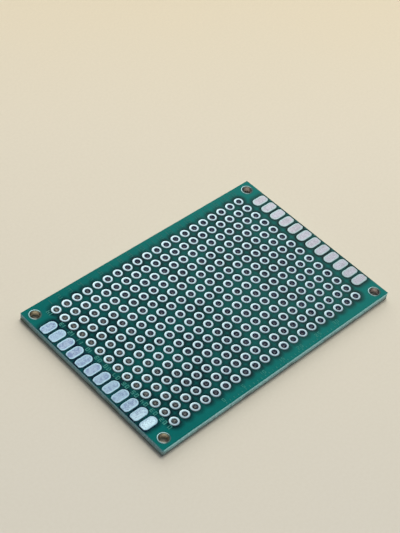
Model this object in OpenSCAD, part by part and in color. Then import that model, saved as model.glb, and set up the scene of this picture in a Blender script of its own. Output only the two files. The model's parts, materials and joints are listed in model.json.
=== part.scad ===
// Prototype board: a drilled glass-epoxy laminate with a solder mask on each face, a grid of
// plated lead holes, a row of long solder pads at each short end, and a plated mounting hole
// in each corner.
//
// The origin is at the centre of the underside, in the plane of the lowest pads. +X runs along
// the long side, +Y across the board, and +Z up, towards the numbered face.
// "Near" means the -Y side, "far" the +Y side, "left" the -X end and "right" the +X end.

/* [Board] */
// Length of the board, along X
board_l = 60; // [59.5:0.5:90]
// Width of the board, along Y
board_w = 40; // [39:0.5:70]
// Thickness of the board, from one solder mask's face to the other's
board_t = 1.6; // [0.8:0.1:3.2]

/* [Scored edges] */
// How far the score's bevel cuts in from each edge of the board
score_in = 0.05; // [0.05:0.05:0.25]
// Thickness of the web left between the upper and lower scores, where the board snaps off
score_web = 0.5; // [0.2:0.05:0.7]

/* [Lead holes] */
// Distance between neighbouring lead holes, along X and along Y
pitch = 2.54; // [2.4:0.01:2.57]
// Lead holes along X, one column of plated holes each
lead_cols = 20; // [2:1:20]
// Lead holes along Y
lead_rows = 14; // [4:1:14]
// Finished bore of a lead hole
lead_bore_d = 1.0; // [0.6:0.05:1.3]
// Outside diameter of the ring around a lead hole
lead_ring_d = 2.0; // [1.6:0.05:2.2]

/* [Mounting holes] */
// Finished bore of a mounting hole
mount_bore_d = 2.0; // [1.6:0.1:2.2]
// Outside diameter of the ring around a mounting hole
mount_ring_d = 2.5; // [2.4:0.05:2.8]
// Distance from the board's edges to a mounting hole's centre, both ways
corner_inset = 2.0; // [1.8:0.05:2.2]

/* [Edge pads] */
// Width of an edge pad, along Y
edge_pad_w = 2.0; // [1.2:0.05:2.2]
// Length of an edge pad's rounded outline, before its outer end is trimmed
edge_pad_l = 3.7; // [2.6:0.1:4.2]
// Distance from the board's edge that the edge pads keep, which trims their outer ends flat
edge_keepout = 0.35; // [0.35:0.05:0.8]

/* [Layers] */
// Thickness of each solder mask on the laminate
mask_t = 0.03; // [0.02:0.01:0.05]
// Clearance between a pad and the solder mask's opening around it
mask_gap = 0.05; // [0.02:0.01:0.08]
// Height of the tinned pads and rings above the laminate
pad_t = 0.07; // [0.06:0.01:0.12]
// Wall thickness of the plating inside a hole
plating_t = 0.05; // [0.02:0.01:0.08]
// Bevel on the rims of the rings, inside and out
ring_bevel = 0.03; // [0.01:0.01:0.05]

/* [Numbering] */
// Thickness of the printed ink
ink_t = 0.02; // [0.01:0.01:0.03]
// Width of the printed strokes
stroke_w = 0.13; // [0.08:0.01:0.18]
// Clearance between the row numbers and the pads and rings on each side of them
row_number_gap = 0.06; // [0.03:0.01:0.15]
// Height of the column numbers in the far margin
column_number_h = 1.2; // [0.8:0.1:1.4]
// Height of the numbers on the printed ruler
ruler_number_h = 0.8; // [0.6:0.05:0.85]
// Length of the printed ruler in the near margin
ruler_l = 30; // [10:5:35]
// Where the ruler's zero lies, along X
ruler_start = -14; // [-22:1:-10]
// Space between the ruler's foot and the edge of the solder mask
ruler_margin = 0.4; // [0.2:0.05:0.5]
// Height of a one-millimetre tick of the ruler
tick_h = 0.4; // [0.2:0.05:0.45]

/* [Hidden] */
$fn = 48;
// Cutters run this far past the faces they open.
cut_past = 1;

// Heights of the faces, from the underside of the lowest pads up.
laminate_t = board_t - 2 * mask_t;
laminate_bottom = pad_t;
laminate_top = laminate_bottom + laminate_t;
pads_top = laminate_top + pad_t;
mask_top = laminate_top + mask_t;

// Each flat face of the board ends where the score's bevel starts.
face_l = board_l - 2 * score_in;
face_w = board_w - 2 * score_in;
score_depth = (laminate_t - score_web) / 2;

// The edge pads share a centre line with the mounting holes at their end of the board,
// and every row of lead holes but the first and the last has one at each end.
mount_x = board_l / 2 - corner_inset;
mount_y = board_w / 2 - corner_inset;
edge_pads = lead_rows - 2;

// Printed numbers: the proportions of a digit, and the strips that hold them.
digit_aspect = 0.62;
digit_space = 0.38;
first_ring_x = (lead_cols - 1) / 2 * pitch + lead_ring_d / 2;
last_ring_y = (lead_rows - 1) / 2 * pitch + lead_ring_d / 2;
pad_inner_x = mount_x - edge_pad_l / 2;
row_number_h = min(pad_inner_x - first_ring_x - 2 * row_number_gap, column_number_h);
row_number_x = -(pad_inner_x + first_ring_x) / 2;
column_number_y = (face_w / 2 + last_ring_y) / 2;
ruler_y = -face_w / 2 + ruler_margin;
ruler_step = 1;
ruler_major = 5;
// The bars that draw each digit from 0 to 9, lettered clockwise from the top, with g across
// the middle.
DIGIT_BARS = [
    "abcdef", "bc", "abged", "abgcd", "fgbc", "afgcd", "afgedc", "abc", "abcdefg", "abcdfg"
];

function column_node(c) = str("plated_holes_", c < 10 ? "0" : "", c);
function eyelet_node(i) = str("mounting_eyelet_", i);
function lead_x(c) = (c - (lead_cols + 1) / 2) * pitch;
function lead_y(r) = (r - (lead_rows + 1) / 2) * pitch;

// ---- Layout ----

// Where mounting hole i lies: near left, near right, far right, far left.
function corner(i) = [(i == 2 || i == 3 ? 1 : -1) * mount_x, (i > 2 ? 1 : -1) * mount_y];

module at_lead_holes() {
    for (c = [1 : lead_cols], r = [1 : lead_rows])
        translate([lead_x(c), lead_y(r)]) children();
}

module at_mounting_holes() {
    for (i = [1 : 4])
        translate(corner(i)) children();
}

// ---- Outlines ----

// A long pad's outline, grown by a margin all round: round-ended, and trimmed flat where it
// reaches the keep-out strip at the board's edge. It lies at the right-hand end.
module edge_pad_outline(margin = 0) {
    w = edge_pad_w + 2 * margin;
    l = edge_pad_l + 2 * margin;
    trimmed_x = board_l / 2 - edge_keepout + margin;
    difference() {
        translate([mount_x, 0]) {
            square([l - w, w], center = true);
            for (side = [-1, 1])
                translate([side * (l - w) / 2, 0]) circle(d = w);
        }
        translate([trimmed_x, -w]) square([l, 2 * w]);
    }
}

// The outlines of all the pads at one end: side is 1 at the right and -1 at the left.
module edge_pad_row(side, margin = 0) {
    for (r = [2 : edge_pads + 1])
        translate([0, lead_y(r)]) mirror([side < 0 ? 1 : 0, 0]) edge_pad_outline(margin);
}

// The solder mask's outline, with an opening around every ring and pad.
module mask_outline() {
    difference() {
        square([face_l, face_w], center = true);
        at_lead_holes() circle(d = lead_ring_d + 2 * mask_gap);
        at_mounting_holes() circle(d = mount_ring_d + 2 * mask_gap);
        edge_pad_row(1, mask_gap);
        edge_pad_row(-1, mask_gap);
    }
}

// ---- Laminate and solder masks ----

// A plate's section across two scored edges, centred on the Y axis of the drawing.
module scored_section(size) {
    flat = size / 2 - score_in;
    polygon([
        [-flat, laminate_bottom],
        [flat, laminate_bottom],
        [size / 2, laminate_bottom + score_depth],
        [size / 2, laminate_top - score_depth],
        [flat, laminate_top],
        [-flat, laminate_top],
        [-size / 2, laminate_top - score_depth],
        [-size / 2, laminate_bottom + score_depth]
    ]);
}

// The plate as it snaps out of its panel, with a bevel along all four edges on both faces.
module scored_plate() {
    intersection() {
        rotate([90, 0, 0])
            linear_extrude(board_w + 2 * cut_past, center = true) scored_section(board_l);
        rotate([90, 0, 90])
            linear_extrude(board_l + 2 * cut_past, center = true) scored_section(board_w);
    }
}

// Each hole is drilled wider than its bore by the plating on its wall.
module drilled_hole(bore_d) {
    translate([0, 0, laminate_bottom - cut_past])
        cylinder(d = bore_d + 2 * plating_t, h = laminate_t + 2 * cut_past);
}

module laminate() {
    color([0.62, 0.66, 0.50]) difference() {
        scored_plate();
        at_lead_holes() drilled_hole(lead_bore_d);
        at_mounting_holes() drilled_hole(mount_bore_d);
    }
}

module solder_mask_top() {
    color([0.06, 0.42, 0.37])
        translate([0, 0, laminate_top]) linear_extrude(mask_t) mask_outline();
}

module solder_mask_bottom() {
    color([0.06, 0.42, 0.37])
        translate([0, 0, laminate_bottom - mask_t]) linear_extrude(mask_t) mask_outline();
}

// ---- Tinned copper ----

// A plated hole: a barrel that lines the drilled hole, with a ring on each face.
module eyelet(bore_d, ring_d) {
    bore = bore_d / 2;
    wall = bore + plating_t;
    rim = ring_d / 2;
    color("silver") rotate_extrude() polygon([
        [bore, ring_bevel],
        [bore + ring_bevel, 0],
        [rim - ring_bevel, 0],
        [rim, ring_bevel],
        [rim, laminate_bottom],
        [wall, laminate_bottom],
        [wall, laminate_top],
        [rim, laminate_top],
        [rim, pads_top - ring_bevel],
        [rim - ring_bevel, pads_top],
        [bore + ring_bevel, pads_top],
        [bore, pads_top - ring_bevel]
    ]);
}

// One column of plated lead holes, counted from the left.
module plated_holes(column) {
    for (r = [1 : lead_rows])
        translate([lead_x(column), lead_y(r)]) eyelet(lead_bore_d, lead_ring_d);
}

module mounting_eyelet(i) {
    translate(corner(i)) eyelet(mount_bore_d, mount_ring_d);
}

// The pads at one end, on the face whose pads start at height z.
module edge_pad_set(side, z) {
    color("silver") translate([0, 0, z]) linear_extrude(pad_t) edge_pad_row(side);
}

module edge_pads_left_top() {
    edge_pad_set(-1, laminate_top);
}

module edge_pads_left_bottom() {
    edge_pad_set(-1, 0);
}

module edge_pads_right_top() {
    edge_pad_set(1, laminate_top);
}

module edge_pads_right_bottom() {
    edge_pad_set(1, 0);
}

// ---- Printed numbers ----

// One bar of a digit of height h, lettered as in DIGIT_BARS.
module digit_bar(bar, h) {
    w = h * digit_aspect;
    if (bar == "a") translate([0, h - stroke_w]) square([w, stroke_w]);
    if (bar == "g") translate([0, (h - stroke_w) / 2]) square([w, stroke_w]);
    if (bar == "d") square([w, stroke_w]);
    if (bar == "b") translate([w - stroke_w, h / 2]) square([stroke_w, h / 2]);
    if (bar == "c") translate([w - stroke_w, 0]) square([stroke_w, h / 2]);
    if (bar == "e") square([stroke_w, h / 2]);
    if (bar == "f") translate([0, h / 2]) square([stroke_w, h / 2]);
}

// A number of one or two digits, h high, centred on the origin.
module number(n, h, digits) {
    step = h * (digit_aspect + digit_space);
    for (i = [0 : digits - 1]) {
        value = floor(n / pow(10, digits - 1 - i)) % 10;
        x = (i - digits / 2) * step + h * digit_space / 2;
        translate([x, -h / 2]) for (bar = DIGIT_BARS[value]) digit_bar(bar, h);
    }
}

// The row numbers read upwards, each beside its own row at the ends of the column and half a
// pitch below it in between, where the gap between two pads leaves room.
module row_numbers() {
    for (r = [1 : lead_rows]) {
        drop = r == 1 || r == lead_rows ? 0 : pitch / 2;
        translate([row_number_x, lead_y(r) - drop]) rotate(90) number(r, row_number_h, 2);
    }
}

module column_numbers() {
    for (c = [1 : lead_cols])
        translate([lead_x(c), column_number_y]) number(c, column_number_h, c < 10 ? 1 : 2);
}

// A millimetre ruler: a short tick each millimetre, and a number over every fifth.
module ruler() {
    for (mark = [0 : ruler_step : ruler_l]) {
        major = mark % ruler_major == 0;
        x = ruler_start + mark;
        translate([x - stroke_w / 2, ruler_y]) square([stroke_w, tick_h]);
        if (major)
            translate([x, ruler_y + tick_h + stroke_w + ruler_number_h / 2])
                number(mark, ruler_number_h, mark < 10 ? 1 : 2);
    }
}

module printed_numbers() {
    color([0.25, 0.66, 0.58]) translate([0, 0, mask_top]) linear_extrude(ink_t) {
        row_numbers();
        column_numbers();
        ruler();
    }
}

// ---- Nodes ----

laminate();
solder_mask_top();
solder_mask_bottom();
for (c = [1 : lead_cols])
    plated_holes(c);
for (i = [1 : 4])
    mounting_eyelet(i);
edge_pads_left_top();
edge_pads_left_bottom();
edge_pads_right_top();
edge_pads_right_bottom();
printed_numbers();
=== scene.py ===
"""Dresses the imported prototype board: domed tin, lacquer, printed numbers and snapped glass-epoxy
edges, on a pale table in soft light. Lengths are in millimetres until a piece, a lamp or the
camera is placed, and in the CAD frame: +X along the board, +Y across it, +Z up. The camera looks
from -X and -Y, so left is -X, right is +X, near is -Y and far is +Y."""

import json
import math
import random

import bpy
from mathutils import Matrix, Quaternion, Vector, noise


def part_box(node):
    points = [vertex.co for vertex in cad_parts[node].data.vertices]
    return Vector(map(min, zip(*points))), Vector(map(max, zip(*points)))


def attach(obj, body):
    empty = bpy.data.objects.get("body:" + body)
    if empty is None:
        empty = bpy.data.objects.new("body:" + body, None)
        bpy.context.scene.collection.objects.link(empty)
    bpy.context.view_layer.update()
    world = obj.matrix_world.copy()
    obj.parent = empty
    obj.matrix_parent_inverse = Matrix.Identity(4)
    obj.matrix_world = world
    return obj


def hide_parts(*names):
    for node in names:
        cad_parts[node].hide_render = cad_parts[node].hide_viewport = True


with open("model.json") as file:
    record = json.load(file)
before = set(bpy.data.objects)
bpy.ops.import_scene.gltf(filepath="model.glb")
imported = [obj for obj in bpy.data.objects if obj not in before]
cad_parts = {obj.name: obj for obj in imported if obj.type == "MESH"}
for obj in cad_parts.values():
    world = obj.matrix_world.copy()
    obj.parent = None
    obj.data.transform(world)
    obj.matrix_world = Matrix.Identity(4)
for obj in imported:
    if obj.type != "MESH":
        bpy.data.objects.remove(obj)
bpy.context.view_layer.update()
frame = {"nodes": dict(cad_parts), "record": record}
scene = bpy.context.scene

MM = 0.001
SEED = 7


# ---- Sizes, from the frame ----

def node_box(node):
    """Lowest and highest corner of a CAD node, in millimetres."""
    low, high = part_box(node)
    return low / MM, high / MM


mounts = {mount["name"]: mount for mount in frame["record"]["mounts"]}
lead_grid = mounts["lead_hole_grid"]["dims"]
corner_grid = mounts["mounting_holes"]["dims"]

column_nodes = sorted(name for name in frame["nodes"] if name.startswith("plated_holes_"))
corner_nodes = sorted(name for name in frame["nodes"] if name.startswith("mounting_eyelet_"))
pad_nodes = sorted(name for name in frame["nodes"] if name.startswith("edge_pads_"))

board_low, board_high = node_box("laminate")
LAMINATE_BOTTOM, LAMINATE_TOP = board_low.z, board_high.z
LAMINATE_T = LAMINATE_TOP - LAMINATE_BOTTOM
LAMINATE_MIDDLE = (LAMINATE_TOP + LAMINATE_BOTTOM) / 2
HALF_L, HALF_W = board_high.x, board_high.y
FACE_HALF_L, FACE_HALF_W = node_box("solder_mask_top")[1].xy
SCORE_IN = HALF_L - FACE_HALF_L
WEB_T = 0.5  # left between the two scores: score_web in the part's source
SCORE_DEPTH = (LAMINATE_T - WEB_T) / 2

PITCH = lead_grid["spacing_x_mm"]
LEAD_BORE_R = lead_grid["hole_r_mm"]
COLUMNS = len(column_nodes)
ROWS = lead_grid["count"] // COLUMNS
column_low, column_high = node_box(column_nodes[0])
LEAD_RIM_R = (column_high.x - column_low.x) / 2
TIN_H = column_high.z - LAMINATE_TOP
PLATING_T = 0.05  # the barrels' wall: plating_t in the part's source
LEAD_SEGMENTS = 32

MOUNT_X, MOUNT_Y = corner_grid["spacing_x_mm"] / 2, corner_grid["spacing_y_mm"] / 2
MOUNT_BORE_R = corner_grid["hole_r_mm"]
corner_low, corner_high = node_box(corner_nodes[0])
MOUNT_RIM_R = (corner_high.x - corner_low.x) / 2
CORNER_SEGMENTS = 56

pads_low, pads_high = node_box("edge_pads_right_top")
PAD_R = (pads_high.y - pads_low.y - (ROWS - 3) * PITCH) / 2
PAD_INNER_X = pads_low.x
PAD_TRIM_X = pads_high.x
PAD_STRAIGHT = MOUNT_X - PAD_INNER_X - PAD_R  # half the length of a pad's straight sides


def in_grid(number, count):
    """Where a place lies, counted from 0, among count places a pitch apart, centred on zero."""
    return (number - (count - 1) / 2) * PITCH


# ---- Node materials ----

def srgb(red, green, blue):
    """A colour given in 0 to 255 as seen on a screen, as the linear RGBA that Blender mixes."""
    def linear(value):
        part = value / 255
        return part / 12.92 if part <= 0.04045 else ((part + 0.055) / 1.055) ** 2.4
    return (linear(red), linear(green), linear(blue), 1.0)


class Shader:
    """A material or world under construction: each method adds a node and returns its output."""

    def __init__(self, owner):
        self.owner = owner
        owner.use_nodes = True
        self.nodes = owner.node_tree.nodes
        self.links = owner.node_tree.links

    def add(self, kind, inputs=None, **settings):
        node = self.nodes.new(kind)
        for name, value in settings.items():
            setattr(node, name, value)
        for socket, value in (inputs or {}).items():
            self.set(node.inputs[socket], value)
        return node

    def set(self, socket, value):
        if isinstance(value, bpy.types.NodeSocket):
            self.links.new(value, socket)
        else:
            socket.default_value = value

    def math(self, operation, *values):
        node = self.add("ShaderNodeMath", dict(enumerate(values)), operation=operation)
        return node.outputs[0]

    def mix(self, factor, first, second):
        node = self.add("ShaderNodeMix", {0: factor, 6: first, 7: second}, data_type="RGBA")
        return node.outputs[2]

    def steps(self, value, low, high, to_low=0.0, to_high=1.0):
        """Rises smoothly from to_low to to_high as value goes from low to high."""
        node = self.add("ShaderNodeMapRange", {0: value, 1: low, 2: high, 3: to_low, 4: to_high},
                        interpolation_type="SMOOTHSTEP")
        return node.outputs[0]

    def place(self):
        """The point on the piece, in millimetres of the CAD frame."""
        coords = self.add("ShaderNodeTexCoord").outputs["Object"]
        scaled = self.add("ShaderNodeVectorMath", {0: coords, 3: 1 / MM}, operation="SCALE")
        return scaled.outputs[0]

    def split(self, vector):
        return self.add("ShaderNodeSeparateXYZ", {0: vector}).outputs

    def stretch(self, vector, scale):
        node = self.add("ShaderNodeVectorMath", {0: vector, 1: scale}, operation="MULTIPLY")
        return node.outputs[0]

    def noise(self, place, size, detail=2.0, rough=0.5, distortion=0.0):
        """Cloudy noise around 0.5 whose blobs are about that many millimetres across."""
        node = self.add("ShaderNodeTexNoise", {"Vector": place, "Scale": 1 / size,
                                               "Detail": detail, "Roughness": rough,
                                               "Distortion": distortion})
        return node.outputs["Fac"]

    def bump(self, height, depth, normal=None):
        """Raises the surface by height times depth millimetres."""
        inputs = {"Height": height, "Distance": depth * MM, "Strength": 1.0}
        if normal is not None:
            inputs["Normal"] = normal
        return self.add("ShaderNodeBump", inputs).outputs[0]


def material(name, **values):
    """A new material's Shader and its Principled node, with values set on the shader's sockets."""
    shader = Shader(bpy.data.materials.new(name))
    principled = shader.nodes["Principled BSDF"]
    for socket, value in values.items():
        principled.inputs[socket.replace("_", " ")].default_value = value
    return shader, principled


# ---- Where a point lies, for the materials ----

def length(s, across, along):
    squares = s.math("ADD", s.math("MULTIPLY", across, across), s.math("MULTIPLY", along, along))
    return s.math("SQRT", squares)


def from_nearest(s, value, count):
    """Millimetres from value to the nearest of count places a pitch apart, centred on zero."""
    steps = s.math("DIVIDE", value, PITCH)
    lowest = -count / 2
    cell = s.math("MINIMUM", s.math("MAXIMUM", s.math("FLOOR", steps), lowest), -lowest - 1)
    return s.math("MULTIPLY", s.math("SUBTRACT", s.math("SUBTRACT", steps, cell), 0.5), PITCH)


def outside_pad(s, x, y):
    """Distance outward from an edge pad's outline; negative inside it."""
    from_middle = s.math("ABSOLUTE", s.math("SUBTRACT", s.math("ABSOLUTE", x), MOUNT_X))
    past_straight = s.math("MAXIMUM", s.math("SUBTRACT", from_middle, PAD_STRAIGHT), 0.0)
    return s.math("SUBTRACT", length(s, past_straight, from_nearest(s, y, ROWS - 2)), PAD_R)


def outside_tin(s, x, y):
    """Distance outward from the nearest lead hole's ring or edge pad."""
    ring = length(s, from_nearest(s, x, COLUMNS), from_nearest(s, y, ROWS))
    return s.math("MINIMUM", s.math("SUBTRACT", ring, LEAD_RIM_R), outside_pad(s, x, y))


def from_mid_plane(s, z):
    """Distance from the plane halfway through the laminate."""
    return s.math("ABSOLUTE", s.math("SUBTRACT", z, LAMINATE_MIDDLE))


# ---- The finishes ----

TIN_SHADE_FOOT = 0.1  # the painted shade round the tin is darkest this close to it
TIN_SHADE_REACH = 1.35  # how far from the tin the painted shade reaches
PAD_SHADE_REACH = 0.5  # the same for the darker painted shade beside the long pads


def lacquer():
    """Semi-gloss green solder mask, with painted shade: dark round the raised tin, darkest
    between the long pads, and darker towards the left end."""
    s, principled = material("lacquer", IOR=1.3, Specular_IOR_Level=0.07)
    place = s.place()
    x, y = s.split(place)[:2]
    # painted shade: the lacquer's tones are painted darker towards the left end
    to_right = s.steps(x, -HALF_L, HALF_L)
    # painted shade: the lacquer is painted dark round the raised tin
    tin_shade_tone = s.mix(to_right, srgb(0, 20, 28), srgb(25, 46, 45))
    open_face = s.mix(to_right, srgb(0, 86, 82), srgb(16, 98, 92))
    clear = s.steps(outside_tin(s, x, y), TIN_SHADE_FOOT, TIN_SHADE_REACH)
    colour = s.mix(clear, tin_shade_tone, open_face)
    # painted shade: darkest between the long pads
    pad_shade = s.steps(outside_pad(s, x, y), TIN_SHADE_FOOT, PAD_SHADE_REACH, 0.85, 0.0)
    colour = s.mix(pad_shade, colour, s.mix(to_right, srgb(0, 2, 36), srgb(26, 28, 30)))
    cloud = s.noise(place, 3.5, detail=3)
    grain = s.noise(place, 0.28, detail=3, rough=0.6)
    cloud_tone = s.mix(to_right, srgb(0, 99, 93), srgb(24, 101, 94))
    colour = s.mix(s.steps(cloud, 0.35, 0.65, 0.0, 0.3), colour, cloud_tone)
    colour = s.mix(s.steps(grain, 0.45, 0.75, 0.0, 0.3), colour, srgb(10, 94, 90))
    s.set(principled.inputs["Base Color"], colour)
    s.set(principled.inputs["Roughness"], s.steps(grain, 0.3, 0.7, 0.32, 0.46))
    peel = s.noise(place, 0.45, detail=2)
    s.set(principled.inputs["Normal"], s.bump(peel, 0.012))
    return s.owner


LIP_R = 0.58  # within this radius a lead hole's tin is painted dark: painted shade on the lip
LIP_NEARWARD = 0.06  # how far that circle lies off the hole's centre, to the near side
LIP_BLUR = 0.03
SHADED_WITHIN = 0.8  # a lead ring's painted shade is fullest this far to the near side of its centre
SHADED_LEFTWARD = 0.4  # how much a step to the left counts towards that
COVERED_SIDE = math.radians(300)  # the side of a corner's ring that lacquer has run over
COVERED = 0.95  # how thickly
BARREL_TOP, BARREL_DEEP = 0.04, 0.24  # below the faces, where the barrel's tone starts and is full
BARREL_RIGHT_X = -8  # from here to the left end the barrels blend into a lighter left tone: painted light


def lead_ring_colour(s, colour, x, y):
    """A lead ring's tin carries painted shade on its near left side and round its hole."""
    from_x, from_y = from_nearest(s, x, COLUMNS), from_nearest(s, y, ROWS)
    farward = s.math("ADD", from_y, s.math("MULTIPLY", from_x, SHADED_LEFTWARD))
    # painted shade on the ring's near left side
    shaded = s.steps(farward, -SHADED_WITHIN, 0.0, 0.24, 0.0)
    colour = s.mix(shaded, colour, srgb(150, 160, 172))
    from_hole = length(s, from_x, s.math("ADD", from_y, LIP_NEARWARD))
    # painted shade round the hole, on the lip and its inner slope
    at_lip = s.steps(from_hole, LIP_R - LIP_BLUR, LIP_R + LIP_BLUR, 1.0, 0.0)
    return s.mix(at_lip, colour, srgb(66, 76, 98))


def lacquer_film(s, x, y):
    """How thickly the lacquer has run over a corner's ring at this point, from 0 to 1."""
    from_x = s.math("SUBTRACT", x, s.math("MULTIPLY", s.math("SIGN", x), MOUNT_X))
    from_y = s.math("SUBTRACT", y, s.math("MULTIPLY", s.math("SIGN", y), MOUNT_Y))
    toward = s.math("ADD", s.math("MULTIPLY", from_x, math.cos(COVERED_SIDE)),
                    s.math("MULTIPLY", from_y, math.sin(COVERED_SIDE)))
    toward = s.math("DIVIDE", toward, length(s, from_x, from_y))
    return s.steps(toward, 0.2, 0.75, 0.0, COVERED)


def tin(name, patchy, bright, grey, barrel_left, barrel_right, at_corner):
    """Hot-dipped tin: bright, a little cool, with soft ripples and dull grey patches. The barrels
    are painted lighter towards the left end as painted light. patchy is how strongly the patches
    show, and at_corner tells a corner's ring from a lead hole's."""
    s, principled = material(name, Metallic=1.0)
    place = s.place()
    x, y, z = s.split(place)
    patches = s.noise(place, 0.42, detail=4, rough=0.62, distortion=0.6)
    grain = s.noise(place, 0.08, detail=2)
    dull = s.steps(patches, 0.5, 0.72, 0.0, patchy)
    colour = s.mix(dull, bright, grey)
    if not at_corner:
        colour = lead_ring_colour(s, colour, x, y)
    in_bore = s.steps(from_mid_plane(s, z), LAMINATE_T / 2 - BARREL_DEEP,
                      LAMINATE_T / 2 - BARREL_TOP, 1.0, 0.0)
    # painted light: the barrels are painted lighter towards the left end
    barrel = s.mix(s.steps(x, -HALF_L, BARREL_RIGHT_X), barrel_left, barrel_right)
    colour = s.mix(in_bore, colour, barrel)
    if at_corner:
        film = s.math("MULTIPLY", lacquer_film(s, x, y), s.math("SUBTRACT", 1.0, in_bore))
        colour = s.mix(film, colour, srgb(18, 72, 66))
        s.set(principled.inputs["Metallic"], s.math("SUBTRACT", 1.0, film))
    s.set(principled.inputs["Base Color"], colour)
    rough = s.math("ADD", s.steps(grain, 0.3, 0.7, 0.22, 0.32), s.math("MULTIPLY", dull, 0.15))
    s.set(principled.inputs["Roughness"], rough)
    ripple = s.noise(place, 0.6, detail=2)
    s.set(principled.inputs["Normal"], s.bump(grain, 0.002, s.bump(ripple, 0.012)))
    return s.owner


RIM_IN, RIM_OUT = 0.42, 0.1  # from a long pad's outline, where the rim's painted highlight ends and is full
# The left pads' painted highlight is full up to the first of these, and gone past the second.
NEAR_ROW_Y, OTHER_ROWS_Y = -15, -7


def pad_tin():
    """The long pads' tin. Each pad has its own tone, with cool grey clouds, a fine speckle and a
    few small pits. Painted reflections make the left pads bluish and the right ones pinkish grey, a
    painted highlight brightens the left pads of the near rows, and each pad's rim carries a
    painted highlight that is brighter on its near side."""
    s, principled = material("pad_tin", Metallic=1.0)
    place = s.place()
    x, y = s.split(place)[:2]
    inside = s.math("MULTIPLY", outside_pad(s, x, y), -1.0)
    clouds = s.noise(place, 0.95, detail=4, rough=0.6, distortion=1.0)
    speckle = s.noise(place, 0.22, detail=4, rough=0.7)
    pits = s.noise(s.stretch(place, (1.0, 1.3, 1.0)), 0.5, detail=4, rough=0.7)
    grain = s.noise(place, 0.07, detail=2)
    # painted reflection: the pads' tones turn from bluish on the left to pinkish grey on the right
    at_right = s.steps(x, -PAD_INNER_X, PAD_INNER_X)
    past_near_row = s.steps(y, NEAR_ROW_Y, OTHER_ROWS_Y)
    row = s.math("FLOOR", s.math("DIVIDE", y, PITCH))
    own = s.add("ShaderNodeTexWhiteNoise", {"W": s.math("ADD", row, at_right)},
                noise_dimensions="1D").outputs["Value"]
    left = s.mix(own, srgb(169, 194, 208), srgb(169, 185, 201))
    # painted highlight on the left pads of the near rows
    left = s.mix(past_near_row, srgb(224, 252, 255), left)
    right = s.mix(own, srgb(206, 205, 210), srgb(204, 199, 202))
    flat = s.mix(at_right, left, right)
    cloud_tone = s.mix(at_right, srgb(122, 138, 172), srgb(186, 180, 184))
    cloudy = s.math("ADD", s.math("MULTIPLY", own, 0.3), 0.5)
    by_row = s.math("ADD", s.math("MULTIPLY", past_near_row, 0.5), 0.5)
    cloudy = s.math("MULTIPLY", cloudy, by_row)
    flat = s.mix(s.steps(clouds, 0.46, 0.6, 0.0, cloudy), flat, cloud_tone)
    fleck = s.mix(at_right, srgb(128, 138, 160), srgb(168, 164, 170))
    flat = s.mix(s.steps(speckle, 0.52, 0.66, 0.0, 0.7), flat, fleck)
    pitted = s.math("MULTIPLY", s.steps(pits, 0.64, 0.72), s.steps(inside, 0.25, 0.5, 0.0, 0.8))
    flat = s.mix(pitted, flat, s.mix(at_right, srgb(84, 98, 126), srgb(140, 136, 146)))
    # painted highlight along each pad's rim, brighter on its near side
    far_rim_highlight = s.mix(at_right, srgb(170, 202, 211), srgb(183, 206, 202))
    near_rim_highlight = s.mix(at_right, srgb(192, 228, 236), srgb(190, 217, 210))
    farward = s.steps(from_nearest(s, y, ROWS - 2), -PAD_R, PAD_R)
    rim = s.mix(farward, near_rim_highlight, far_rim_highlight)
    s.set(principled.inputs["Base Color"], s.mix(s.steps(inside, RIM_OUT, RIM_IN), rim, flat))
    rough = s.math("ADD", s.steps(grain, 0.3, 0.7, 0.25, 0.36), s.math("MULTIPLY", pitted, 0.2))
    s.set(principled.inputs["Roughness"], rough)
    ripple = s.noise(place, 0.7, detail=2)
    s.set(principled.inputs["Normal"], s.bump(grain, 0.003, s.bump(ripple, 0.02)))
    return s.owner


ROW_NUMBERS_IN, ROW_NUMBERS_OUT = 8, 6  # from the left end, where their tone ends and is full
FAR_MARGIN_IN, FAR_MARGIN_OUT = 2.2, 1.6  # from the far side, where the worn print ends likewise


def ink():
    """Thin pale green print: the lacquer shows through where the ink is starved, which is most
    of it along the far margin. The row numbers are the palest."""
    s, principled = material("ink", IOR=1.4, Specular_IOR_Level=0.3)
    place = s.place()
    x, y = s.split(place)[:2]
    starved = s.steps(s.noise(place, 0.22, detail=3, rough=0.6), 0.42, 0.66)
    row_number = s.steps(x, -FACE_HALF_L + ROW_NUMBERS_IN, -FACE_HALF_L + ROW_NUMBERS_OUT)
    full = s.mix(row_number, srgb(33, 115, 103), srgb(58, 130, 118))
    colour = s.mix(starved, full, srgb(12, 87, 81))
    worn = s.steps(y, FACE_HALF_W - FAR_MARGIN_IN, FACE_HALF_W - FAR_MARGIN_OUT, 0.0, 0.8)
    s.set(principled.inputs["Base Color"], s.mix(worn, colour, srgb(6, 84, 79)))
    s.set(principled.inputs["Roughness"], s.steps(starved, 0.0, 1.0, 0.5, 0.62))
    s.set(principled.inputs["Normal"], s.bump(s.noise(place, 0.12), 0.006))
    return s.owner


PLY_T = 0.19
EDGE_IN, EDGE_OUT = 0.4, 0.2  # from the outline, where an edge's own tone ends and is full
FACE_SKIN = 0.004  # the laminate's flat faces are coloured to this depth


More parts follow.
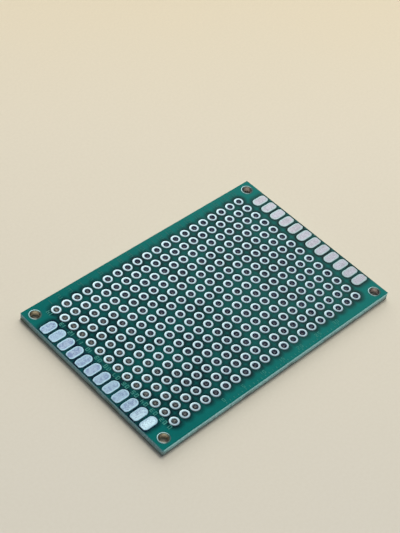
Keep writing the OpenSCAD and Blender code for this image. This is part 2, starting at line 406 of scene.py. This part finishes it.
def glass_epoxy():
    """Woven glass in epoxy, which shows along the edges: pale and smooth on the upper scored bevel,
    greyer where it snapped, with broken fibres in plies, brown bundles and stains. The upper
    bevel's paleness is partly painted light, the near edge is painted paler as painted light, and
    the bottom of the edge is painted darker as painted shade."""
    s, principled = material("glass_epoxy", IOR=1.5, Specular_IOR_Level=0.35)
    place = s.place()
    x, y, z = s.split(place)
    ply = s.math("SINE", s.math("MULTIPLY", z, 2 * math.pi / PLY_T))
    strands = s.noise(s.stretch(place, (2.6, 2.6, 9.0)), 1.0, detail=4, rough=0.7)
    fibre = s.math("ADD", s.math("MULTIPLY", ply, 0.09), strands)
    streaks = s.steps(fibre, 0.38, 0.66)
    bundles = s.noise(s.stretch(place, (1.4, 1.4, 5.0)), 1.0, detail=2)
    at_near = s.steps(y, -HALF_W + EDGE_IN, -HALF_W + EDGE_OUT)
    at_left = s.steps(x, -HALF_L + EDGE_IN, -HALF_L + EDGE_OUT)
    scored = s.mix(streaks, srgb(120, 169, 171), srgb(169, 204, 202))
    # painted light: the near edge, scored and torn, is painted paler
    scored = s.mix(at_near, scored, s.mix(streaks, srgb(158, 232, 234), srgb(210, 255, 255)))
    scored = s.mix(at_left, scored, s.mix(streaks, srgb(102, 156, 166), srgb(138, 187, 196)))
    torn = s.mix(streaks, srgb(99, 129, 127), srgb(153, 181, 178))
    torn = s.mix(at_near, torn, s.mix(streaks, srgb(134, 182, 180), srgb(196, 240, 240)))
    torn = s.mix(at_left, torn, s.mix(streaks, srgb(106, 140, 139), srgb(162, 192, 193)))
    torn = s.mix(s.steps(bundles, 0.5, 0.75, 0.0, 0.6), torn, srgb(103, 96, 71))
    stained = s.steps(s.noise(place, 2.6, detail=3), 0.46, 0.66, 0.0, 0.45)
    torn = s.mix(stained, torn, s.mix(at_near, srgb(84, 86, 44), srgb(120, 116, 104)))
    # painted shade: the edge is painted darker towards the bottom
    low = s.steps(z, LAMINATE_BOTTOM + 0.1, LAMINATE_BOTTOM + SCORE_DEPTH, 0.75, 0.0)
    torn = s.mix(low, torn, s.mix(at_near, srgb(82, 88, 66), srgb(94, 100, 88)))
    score_floor = LAMINATE_TOP - SCORE_DEPTH
    # the upper scored bevel is painted pale: partly the cut glass's own tone, partly painted light
    colour = s.mix(s.steps(z, score_floor - 0.14, score_floor + 0.06), torn, scored)
    on_face = s.math("GREATER_THAN", from_mid_plane(s, z), LAMINATE_T / 2 - FACE_SKIN)
    s.set(principled.inputs["Base Color"], s.mix(on_face, colour, srgb(10, 49, 45)))
    s.set(principled.inputs["Roughness"], s.steps(strands, 0.3, 0.7, 0.5, 0.75))
    s.set(principled.inputs["Normal"], s.bump(strands, 0.03))
    return s.owner


AWAY_X, AWAY_Y = 0.6, 0.8  # roughly the way in which the camera looks over the table


def tabletop():
    """A smooth, warm off-white surface with the faintest cloudiness and grain, and painted light:
    warmer and a little brighter far off.
    """
    s, principled = material("tabletop", Specular_IOR_Level=0.15)
    place = s.place()
    cloud = s.noise(place, 60.0, detail=2)
    grain = s.noise(place, 0.6, detail=3)
    x, y = s.split(place)[:2]
    away = s.math("ADD", s.math("MULTIPLY", x, AWAY_X), s.math("MULTIPLY", y, AWAY_Y))
    # painted light: warmer and a little brighter farther from the camera
    colour = s.mix(s.steps(away, -70, 100), srgb(189, 184, 171), srgb(197, 188, 168))
    colour = s.mix(s.steps(away, 40, 120), colour, srgb(196, 184, 158))
    colour = s.mix(s.steps(cloud, 0.3, 0.7, 0.0, 0.2), colour, srgb(193, 185, 166))
    colour = s.mix(s.steps(grain, 0.3, 0.7, 0.0, 0.12), colour, srgb(180, 172, 155))
    s.set(principled.inputs["Base Color"], colour)
    s.set(principled.inputs["Roughness"], s.steps(grain, 0.3, 0.7, 0.7, 0.85))
    s.set(principled.inputs["Normal"], s.bump(grain, 0.01))
    return s.owner


LACQUER = lacquer()
RING_TIN = tin("ring_tin", 0.35, srgb(203, 226, 227), srgb(150, 160, 172),
               srgb(246, 252, 255), srgb(188, 200, 228), at_corner=False)
CORNER_TIN = tin("corner_tin", 0.6, srgb(172, 208, 204), srgb(126, 150, 144),
                 srgb(230, 222, 202), srgb(214, 203, 206), at_corner=True)
PAD_TIN = pad_tin()
INK = ink()
GLASS_EPOXY = glass_epoxy()


# ---- Making pieces ----

def make_piece(name, points, faces, finish, slot, *nodes, sharp_over=50):
    """A piece from points in millimetres, which stands for these CAD nodes. Edges that turn by
    more than sharp_over degrees are drawn sharp."""
    mesh = bpy.data.meshes.new(name)
    mesh.from_pydata([Vector(point) * MM for point in points], [], faces)
    mesh.validate()
    mesh.materials.append(finish)
    mesh.shade_smooth()
    mesh.set_sharp_from_angle(angle=math.radians(sharp_over))
    piece = bpy.data.objects.new(name, mesh)
    scene.collection.objects.link(piece)
    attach(piece, "root")
    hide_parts(*nodes)
    return piece


def rings_to_faces(first, ring_count, ring_size):
    """Quads between neighbouring rings of points, with a cap on the first and on the last."""
    last = first + (ring_count - 1) * ring_size
    faces = []
    for this in range(first, last, ring_size):
        for i in range(ring_size):
            j = (i + 1) % ring_size
            faces.append((this + i, this + j, this + ring_size + j, this + ring_size + i))
    faces.append(tuple(reversed(range(first, first + ring_size))))
    faces.append(tuple(range(last, last + ring_size)))
    return faces


# ---- Plated holes ----

DOME_STEPS = 7
FLARE_DEPTH = 0.3  # how deep in the bore its lip starts to open
FLAT_TOP = 5.0  # 2 would be a round outer slope, and more is flatter with a steeper foot
FLOW = 0.12  # how much nearer to the hole the crest is on the far side, as a share of the ring
CREST_SPREAD = 0.07  # how much the crest's place varies from ring to ring
CREST_FILL = (0.72, 0.84)  # the crest's height, as a share of the solid ring's
CREST_LEAN = 0.06  # how much its height and place vary round a ring
CREST_PAST_LIP = 0.02


def dome_profile(bore, lip, rim, crest_r, crest_h, knee, slump):
    """(radius, height over the laminate) from inside the bore, up its flared lip, over the crest
    and out to the foot. slump is 0.5 for a full round outer slope and more for one that falls
    away from the crest."""
    profile = [(bore, -FLARE_DEPTH)]
    for i in range(DOME_STEPS, 0, -1):
        turn = math.pi / 2 * i / DOME_STEPS
        in_by, down_by = math.sin(turn), 1 - math.cos(turn)
        profile.append((crest_r - (crest_r - lip) * in_by, crest_h - (crest_h + knee) * down_by))
    for i in range(DOME_STEPS + 1):
        turn = math.pi / 2 * i / DOME_STEPS
        out_by = math.sin(turn)
        height = crest_h * max(1 - out_by ** FLAT_TOP, 0.0) ** slump
        profile.append((crest_r + (rim - crest_r) * out_by, height))
    return profile


def eyelet(points, faces, centre, bore, rim, segments, rng, flare, crest, knee, slump, thinning):
    """Adds a plated hole with a domed, slightly uneven ring of tin on each face. flare is how far
    the bore opens at its lip, crest how far across the ring it is highest, knee how deep its
    slope runs into the bore, and thinning how much lower it is on the covered side."""
    first = len(points)
    wall, lip = bore + PLATING_T, bore + flare
    crests = [crest + rng.uniform(-CREST_SPREAD, CREST_SPREAD) for _ in range(2)]
    fill = [rng.uniform(*CREST_FILL) for _ in range(2)]
    leans = [(rng.uniform(0, 2 * math.pi), rng.uniform(0.0, CREST_LEAN)) for _ in range(4)]
    for i in range(segments):
        turn = 2 * math.pi * i / segments
        thin = 1 - thinning * max(math.cos(turn - COVERED_SIDE), 0.0)
        section = []
        for face in range(2):
            lean = sum(size * math.cos(order * (turn - start))
                       for order, (start, size) in enumerate(leans[2 * face:2 * face + 2], 1))
            crest_h = min(TIN_H * (fill[face] + lean) * thin, TIN_H)
            across = crests[face] + lean - FLOW * math.sin(turn)
            crest_r = max(bore + (rim - bore) * across, lip + CREST_PAST_LIP)
            profile = dome_profile(bore, lip, rim, crest_r, crest_h, knee, slump)
            if face == 0:
                section += [(r, LAMINATE_TOP + h) for r, h in profile]
                section += [(wall, LAMINATE_TOP), (wall, LAMINATE_BOTTOM)]
            else:
                section += [(r, LAMINATE_BOTTOM - h) for r, h in reversed(profile)]
        for r, z in section:
            points.append((centre[0] + r * math.cos(turn), centre[1] + r * math.sin(turn), z))
    for i in range(segments):
        this, following = first + i * len(section), first + (i + 1) % segments * len(section)
        for k in range(len(section)):
            m = (k + 1) % len(section)
            faces.append((this + k, following + k, following + m, this + m))


def plated_columns():
    rng = random.Random(SEED)
    for column, node in enumerate(column_nodes):
        points, faces = [], []
        for row in range(ROWS):
            centre = (in_grid(column, COLUMNS), in_grid(row, ROWS))
            eyelet(points, faces, centre, LEAD_BORE_R, LEAD_RIM_R, LEAD_SEGMENTS, rng,
                   flare=0.048, crest=0.27, knee=0.03, slump=0.5, thinning=0.0)
        make_piece(f"tinned_holes_{column + 1:02}", points, faces, RING_TIN, "tinned_copper", node)


def corner_eyelets():
    rng = random.Random(SEED + 1)
    for number, node in enumerate(corner_nodes, 1):
        low, high = node_box(node)
        points, faces = [], []
        centre = ((low.x + high.x) / 2, (low.y + high.y) / 2)
        eyelet(points, faces, centre, MOUNT_BORE_R, MOUNT_RIM_R, CORNER_SEGMENTS, rng,
               flare=0.03, crest=0.3, knee=0.1, slump=0.8, thinning=0.6)
        make_piece(f"tinned_corner_{number}", points, faces, CORNER_TIN, "tinned_copper", node)


# ---- Edge pads ----

PAD_SHOULDER = 0.1  # how far in from its outline a pad has its full height
PAD_ROUNDNESS = 2.4  # 2 would be a round shoulder, and more is squarer
PAD_INSETS = (0, 0.004, 0.012, 0.025, 0.045, 0.07, 0.1, 0.2, 0.4, 0.6, 0.8)
TRIMMED_SHOULDER = 0.8  # the width of the shoulder at a pad's trimmed end, as a share
PAD_FILL = (0.76, 0.84)  # a pad's height, as a share of the solid pad's
PAD_TILT = 0.05  # how much that varies across a pad, and with its swells
PAD_SWELL = 0.09
SWELLS_PER_MM = 1.3
PAD_ARC_STEPS = 16
PAD_SIDE_STEPS = 7


def pad_outline():
    """(point on the pad's centre line, direction outward) all round a pad at the right end."""
    outline = []
    for side, start in ((1, -math.pi / 2), (-1, math.pi / 2)):
        for i in range(PAD_ARC_STEPS + 1):
            turn = start + math.pi * i / PAD_ARC_STEPS
            outline.append((side * PAD_STRAIGHT, math.cos(turn), math.sin(turn)))
        for i in range(1, PAD_SIDE_STEPS):
            along = side * PAD_STRAIGHT * (1 - 2 * i / PAD_SIDE_STEPS)
            outline.append((along, 0.0, float(side)))
    return outline


def edge_pads(name, node, side, up, rng):
    """Twelve pillowed pads at one end: side is 1 at the right end, up is 1 on the upper face."""
    points, faces = [], []
    outline = pad_outline()
    foot = LAMINATE_TOP if up > 0 else LAMINATE_BOTTOM
    own_swells = side * 40 + up * 9
    for row in range(1, ROWS - 1):
        y = in_grid(row, ROWS)
        first = len(points)
        lean = Vector((rng.uniform(-1, 1), rng.uniform(-1, 1), 0)) * PAD_TILT
        full = rng.uniform(*PAD_FILL)
        for inset in PAD_INSETS:
            shoulder = 1 - (1 - min(inset / PAD_SHOULDER, 1)) ** PAD_ROUNDNESS
            level = TIN_H * full * shoulder ** (1 / PAD_ROUNDNESS)
            for along, out_x, out_y in outline:
                x = MOUNT_X + along + out_x * (PAD_R - inset)
                x = min(x, PAD_TRIM_X - inset * TRIMMED_SHOULDER)
                across = out_y * (PAD_R - inset)
                tilt = 1 + lean.x * (x - MOUNT_X) / PAD_R + lean.y * across / PAD_R
                at = Vector((x * SWELLS_PER_MM, (y + across) * SWELLS_PER_MM, own_swells))
                height = min(level * tilt * (1 + PAD_SWELL * noise.noise(at)), TIN_H)
                points.append((side * x, y + across, foot + up * height))
        made = rings_to_faces(first, len(PAD_INSETS), len(outline))
        mirrored = side * up < 0
        faces += [tuple(reversed(face)) for face in made] if mirrored else made
    make_piece(name, points, faces, PAD_TIN, "tinned_copper", node)


def all_edge_pads():
    for node in pad_nodes:
        side = 1 if "_right_" in node else -1
        up = 1 if node.endswith("_top") else -1
        edge_pads(node.replace("edge_pads", "tinned_pads"), node, side, up,
                  random.Random(SEED + 10 * side + up))


# ---- Laminate ----

EDGE_STEP = 0.12
CORNER_R = 0.25
CORNER_STEPS = 4
BEVEL_LEVELS = 6
WEB_LEVELS = 10
SCORE_BITE = 0.012  # how far in the scored bevels are roughened
FIBRE_BITE = 0.13  # how far in the snapped web is torn
TEARS_PER_MM, TEARS_PER_MM_UP = 0.9, 3.5
STRANDS_PER_MM, STRANDS_PER_MM_UP = 3.5, 14.0
DRILL_PAST = 1.0


def board_outline():
    """(point, outward direction) round the board's largest outline, with blunt corners."""
    outline = []
    corners = [Vector((side_x * (HALF_L - CORNER_R), side_y * (HALF_W - CORNER_R)))
               for side_x, side_y in ((1, -1), (1, 1), (-1, 1), (-1, -1))]
    for corner, centre in enumerate(corners):
        start = -math.pi / 2 + corner * math.pi / 2
        for i in range(CORNER_STEPS + 1):
            turn = start + math.pi / 2 * i / CORNER_STEPS
            out = Vector((math.cos(turn), math.sin(turn)))
            outline.append((centre + out * CORNER_R, out))
        begin = centre + out * CORNER_R
        end = corners[(corner + 1) % 4] + out * CORNER_R
        steps = round((end - begin).length / EDGE_STEP)
        outline += [(begin.lerp(end, i / steps), out) for i in range(1, steps)]
    return outline


def edge_levels():
    """(height, inset of the sound surface, how far broken fibres bite) up the board's edge."""
    levels = []
    for i in range(BEVEL_LEVELS):
        part = i / BEVEL_LEVELS
        levels.append((LAMINATE_BOTTOM + SCORE_DEPTH * part, SCORE_IN * (1 - part),
                       SCORE_BITE if i else 0.0))
    for i in range(WEB_LEVELS + 1):
        levels.append((LAMINATE_BOTTOM + SCORE_DEPTH + WEB_T * i / WEB_LEVELS, 0.0, FIBRE_BITE))
    for i in range(1, BEVEL_LEVELS + 1):
        part = i / BEVEL_LEVELS
        levels.append((LAMINATE_TOP - SCORE_DEPTH * (1 - part), SCORE_IN * part,
                       SCORE_BITE if part < 1 else 0.0))
    return levels


def bite(point, z):
    """From 0 to 1: how far the snapped edge is torn in at this point."""
    at = Vector((point.x * TEARS_PER_MM, point.y * TEARS_PER_MM, z * TEARS_PER_MM_UP))
    torn = noise.fractal(at, 0.7, 2.0, 3)
    at = Vector((point.x * STRANDS_PER_MM, point.y * STRANDS_PER_MM, z * STRANDS_PER_MM_UP))
    strands = noise.noise(at)
    return min(max(0.42 + 0.45 * torn + 0.35 * strands, 0.0), 1.0)


def drills():
    """One mesh of all the drill holes, run past both faces."""
    points, faces = [], []
    holes = [(in_grid(column, COLUMNS), in_grid(row, ROWS), LEAD_BORE_R, LEAD_SEGMENTS)
             for column in range(COLUMNS) for row in range(ROWS)]
    holes += [(side_x * MOUNT_X, side_y * MOUNT_Y, MOUNT_BORE_R, CORNER_SEGMENTS)
              for side_x in (-1, 1) for side_y in (-1, 1)]
    for x, y, bore, segments in holes:
        first, r = len(points), bore + PLATING_T
        for z in (LAMINATE_BOTTOM - DRILL_PAST, LAMINATE_TOP + DRILL_PAST):
            for i in range(segments):
                turn = 2 * math.pi * i / segments
                points.append((x + r * math.cos(turn), y + r * math.sin(turn), z))
        faces += rings_to_faces(first, 2, segments)
    mesh = bpy.data.meshes.new("drills")
    mesh.from_pydata([Vector(point) * MM for point in points], [], faces)
    cutter = bpy.data.objects.new("drills", mesh)
    scene.collection.objects.link(cutter)
    return cutter


def laminate():
    """The board's slab with torn edges, drilled for every barrel."""
    outline, levels = board_outline(), edge_levels()
    points = []
    for z, inset, torn in levels:
        for point, out in outline:
            at = point - out * (inset + torn * bite(point, z))
            points.append((at.x, at.y, z))
    faces = rings_to_faces(0, len(levels), len(outline))
    piece = make_piece("snapped_laminate", points, faces, GLASS_EPOXY, "glass_epoxy", "laminate",
                       sharp_over=35)
    cutter = drills()
    cut = piece.modifiers.new("drill", "BOOLEAN")
    cut.operation, cut.solver, cut.object = "DIFFERENCE", "MANIFOLD", cutter
    depsgraph = bpy.context.evaluated_depsgraph_get()
    drilled = bpy.data.meshes.new_from_object(piece.evaluated_get(depsgraph), depsgraph=depsgraph)
    piece.modifiers.clear()
    piece.data = drilled
    drilled.materials.clear()
    drilled.materials.append(GLASS_EPOXY)
    bpy.data.objects.remove(cutter)


# ---- Pieces ----

def repaint(node, finish):
    """Gives a CAD node that keeps its shape a better material."""
    for slot in frame["nodes"][node].material_slots:
        slot.material = finish


plated_columns()
corner_eyelets()
all_edge_pads()
laminate()
repaint("solder_mask_top", LACQUER)
repaint("solder_mask_bottom", LACQUER)
repaint("printed_numbers", INK)


# ---- Table, light and camera ----

TABLE_HALF = 1500.0
TABLE_STEPS = 24


def table():
    """The board's underside rests on this: a flat grid at z = 0."""
    places = [(i / TABLE_STEPS * 2 - 1) * TABLE_HALF for i in range(TABLE_STEPS + 1)]
    points = [(x, y, 0.0) for y in places for x in places]
    row = len(places)
    faces = [(j * row + i, j * row + i + 1, (j + 1) * row + i + 1, (j + 1) * row + i)
             for j in range(TABLE_STEPS) for i in range(TABLE_STEPS)]
    mesh = bpy.data.meshes.new("table")
    mesh.from_pydata([Vector(point) * MM for point in points], [], faces)
    mesh.materials.append(tabletop())
    floor = bpy.data.objects.new("table", mesh)
    scene.collection.objects.link(floor)


WINDOW_SIDE = (0.45, 0.80, 0.40)
WINDOW_FOCUS = 6.0
ROOM_DARK = (0.23, 0.25, 0.29, 1)
ROOM_BRIGHT = (2.08, 2.17, 2.26, 1)
KEY_PLACE, KEY_WIDTH, KEY_WATTS = (327, 237, 1130), 420, 7.9
FILL_PLACE, FILL_WIDTH, FILL_WATTS = (808, 354, 472), 2000, 16.5
LAMP_COLOUR = (1.0, 0.97, 0.92)


def room_light():
    """A soft bright room: brightest beyond the board's far right, dimmest behind its left."""
    world = bpy.data.worlds.new("room")
    scene.world = world
    s = Shader(world)
    background = s.nodes["Background"]
    direction = s.add("ShaderNodeTexCoord").outputs["Generated"]
    bright_side = Vector(WINDOW_SIDE).normalized()
    toward = s.add("ShaderNodeVectorMath", {0: direction, 1: bright_side}, operation="DOT_PRODUCT")
    light = s.math("POWER", s.math("MAXIMUM", toward.outputs["Value"], 0.0), WINDOW_FOCUS)
    s.set(background.inputs["Color"], s.mix(light, ROOM_DARK, ROOM_BRIGHT))
    background.inputs["Strength"].default_value = 1.0


def round_lamp(name, place, width, watts):
    """A lamp that points at the board. It doesn't show in the tin's reflections."""
    light = bpy.data.lights.new(name, "AREA")
    light.shape, light.size = "DISK", width * MM
    light.energy, light.color = watts, LAMP_COLOUR
    lamp = bpy.data.objects.new(name, light)
    lamp.location = Vector(place) * MM
    lamp.rotation_euler = (-Vector(place)).to_track_quat("-Z", "Y").to_euler()
    lamp.visible_glossy = lamp.visible_camera = False
    scene.collection.objects.link(lamp)


EYE, AIM = Vector((-130.168, -107.137, 188.929)), Vector((5.109, 8.017, 1.64))
LENS = 88.69
ROLL = math.radians(8.835)


def camera():
    """The photo's viewpoint, solved from the grid of lead holes."""
    data = bpy.data.cameras.new("camera")
    data.sensor_fit, data.sensor_width = "AUTO", 36.0
    data.lens = LENS
    data.clip_start, data.clip_end = 0.01, 10.0
    roll = Quaternion((0, 0, 1), ROLL)
    made = bpy.data.objects.new("camera", data)
    made.location = EYE * MM
    made.rotation_mode = "QUATERNION"
    made.rotation_quaternion = (AIM - EYE).to_track_quat("-Z", "Y") @ roll
    scene.collection.objects.link(made)
    scene.camera = made


table()
room_light()
round_lamp("key", KEY_PLACE, KEY_WIDTH, KEY_WATTS)  # narrow: it casts the dark band at the left
round_lamp("fill", FILL_PLACE, FILL_WIDTH, FILL_WATTS)  # broad: it casts the wide soft shadow
camera()
scene.view_settings.view_transform = "Standard"
